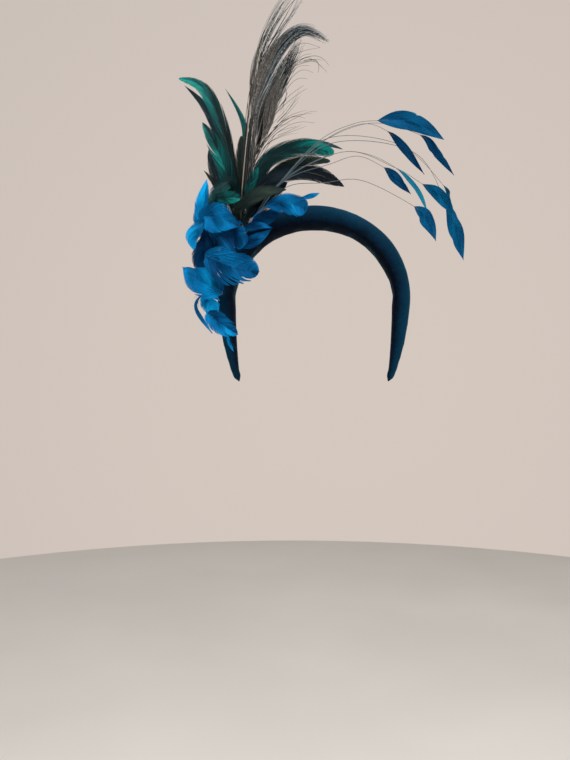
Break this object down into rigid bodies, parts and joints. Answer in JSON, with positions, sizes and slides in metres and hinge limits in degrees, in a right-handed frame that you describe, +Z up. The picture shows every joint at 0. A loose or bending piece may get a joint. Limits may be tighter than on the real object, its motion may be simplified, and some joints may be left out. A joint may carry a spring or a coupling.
{
  "type": "fascinator",
  "caption": "Padded velvet halo headband with a spray of azure goose petals, iridescent coque feathers, peacock herl plumes and stripped quills with leaf tips on one side.",
  "frame": {"origin": "inner top of the padded band, where it sits on the crown of the head, halfway through the band front to back", "axes": "+Z up out of the head, -Y the way the wearer faces, -X the wearer's right, where the feathers are mounted"},
  "size_m": [0.2872, 0.0957, 0.4009],
  "materials": {
    "velvet": "short-pile cotton velvet, petrol blue, pale sheen at the rim",
    "goose_blue": "dyed goose feather, bright azure, satin",
    "coque_green": "dyed coque feather, teal green, iridescent",
    "coque_black": "coque feather, blue-black, glossy",
    "coque_olive": "coque feather, olive green, satin",
    "peacock_herl": "dyed peacock herl, grey green, pale quill",
    "stripped_quill": "stripped goose quill, grey brown, with a dyed blue leaf tip"
  },
  "bodies": {
    "root": {"padded_band": "velvet", "goose_petal_upright": "goose_blue", "goose_petal_small_left": "goose_blue", "goose_petal_behind": "goose_blue", "goose_petal_top": "goose_blue", "goose_petal_middle": "goose_blue", "goose_petal_curled": "goose_blue", "goose_petal_fold": "goose_blue", "goose_petal_large": "goose_blue", "goose_petal_outer": "goose_blue", "goose_petal_bright": "goose_blue", "goose_biot_loop": "goose_blue", "goose_biot_hanging": "goose_blue", "goose_petal_low": "goose_blue", "goose_biot_low": "goose_blue", "goose_petal_front_top": "goose_blue", "goose_petal_front_dark": "goose_blue", "goose_finger_upper": "goose_blue", "goose_finger_lower": "goose_blue", "coque_left_tall": "coque_green", "coque_left_dark": "coque_black", "coque_left_wide": "coque_green", "coque_left_downy": "coque_black", "coque_sickle": "coque_green", "coque_short_round": "coque_olive", "coque_short_thin": "coque_olive", "coque_front_green": "coque_green", "coque_front_lobe": "coque_green", "coque_right_long": "coque_green", "coque_right_back": "coque_black", "coque_right_under": "coque_olive", "coque_right_black": "coque_black", "coque_crossed_barb": "coque_green", "coque_low_black": "coque_black", "coque_olive_leaf": "coque_olive", "peacock_plume_tall": "peacock_herl", "peacock_plume_short": "peacock_herl", "quill_stem_top": "stripped_quill", "quill_stem_upper": "stripped_quill", "quill_stem_far": "stripped_quill", "quill_stem_inner": "stripped_quill", "quill_stem_teal": "stripped_quill", "quill_stem_low": "stripped_quill", "quill_stem_right": "stripped_quill", "quill_stem_edge_on": "stripped_quill", "quill_stem_long": "stripped_quill", "quill_stem_sprig": "stripped_quill"}
  },
  "joints": []
}
